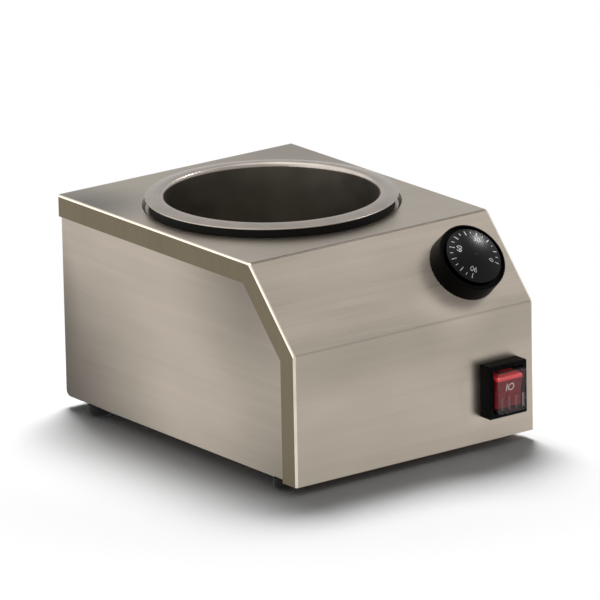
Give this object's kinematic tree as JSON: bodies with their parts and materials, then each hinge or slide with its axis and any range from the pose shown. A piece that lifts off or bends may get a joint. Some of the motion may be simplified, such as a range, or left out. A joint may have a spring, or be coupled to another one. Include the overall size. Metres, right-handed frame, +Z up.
{
  "type": "chocolate bain-marie",
  "caption": "Table-top chocolate bain-marie: folded stainless housing with a sloping control panel, dial knob, boot-covered rocker switch, and a flanged pot that lifts out of a water well.",
  "frame": {"origin": "on the surface it stands on, under the middle of the housing", "axes": "+X to the right seen from the front, +Y from the switch side to the back, +Z up"},
  "size_m": [0.2, 0.2954, 0.1579],
  "materials": {
    "housing_steel": "satin",
    "pot_steel": "satin, polished at the rounded edges",
    "well_steel": "plain drawn",
    "zinc_steel": "zinc plated",
    "foot_rubber": "matte",
    "gasket_rubber": "matte",
    "heater_silicone": "matte",
    "clamp_aluminium": "plain",
    "phenolic": "matte",
    "mineral_wool": "fibrous",
    "copper": "plain copper",
    "brass": "plain",
    "knob_plastic": "gloss",
    "switch_plastic": "fine satin",
    "clear_silicone": "clear silicone rubber",
    "red_plastic": "translucent gloss",
    "white_nylon": "satin"
  },
  "bodies": {
    "housing": {"top_cover": "housing_steel", "base_tray": "housing_steel", "back_panel": "housing_steel", "foot_front_left": "foot_rubber", "foot_front_right": "foot_rubber", "foot_back_left": "foot_rubber", "foot_back_right": "foot_rubber", "foot_screws": "zinc_steel", "foot_nuts": "zinc_steel", "water_well": "well_steel", "pot_gasket": "gasket_rubber", "heater_pad": "heater_silicone", "heater_clamp_disc": "clamp_aluminium", "heater_stud": "zinc_steel", "heater_nut": "zinc_steel", "safety_cutout": "phenolic", "cutout_screws": "zinc_steel", "insulation_wrap": "mineral_wool", "sensor_pocket": "well_steel", "sensor_bulb": "copper", "capillary_tube": "copper", "thermostat_body": "phenolic", "thermostat_screws": "zinc_steel", "thermostat_terminals": "brass", "switch_housing": "switch_plastic", "switch_frame": "switch_plastic", "splash_boot": "clear_silicone", "switch_terminals": "brass", "panel_screws": "zinc_steel", "cord_gland": "switch_plastic", "gland_cap": "switch_plastic", "gland_nut": "switch_plastic", "terminal_block": "white_nylon", "pole_screws": "brass", "block_screws": "zinc_steel", "earth_stud": "brass", "earth_nut": "brass"},
    "knob": {"thermostat_shaft": "clamp_aluminium", "knob_body": "knob_plastic", "dial_cap": "knob_plastic"},
    "rocker": {"rocker": "red_plastic"},
    "pot": {"pot": "pot_steel"}
  },
  "joints": [
    {"name": "knob_turn", "type": "hinge", "parent": "housing", "child": "knob", "pos_m": [0.0588, -0.1099, 0.1229], "axis": [0, -0.7463, 0.6656], "range_deg": [-147, 123]},
    {"name": "rocker_tip", "type": "hinge", "parent": "housing", "child": "rocker", "pos_m": [0.0703, -0.1315, 0.0432], "axis": [-1, 0, 0], "range_deg": [0, 14]},
    {"name": "pot_lift", "type": "slide", "parent": "housing", "child": "pot", "axis": [0, 0, 1], "range_m": [0, 0.12]}
  ]
}
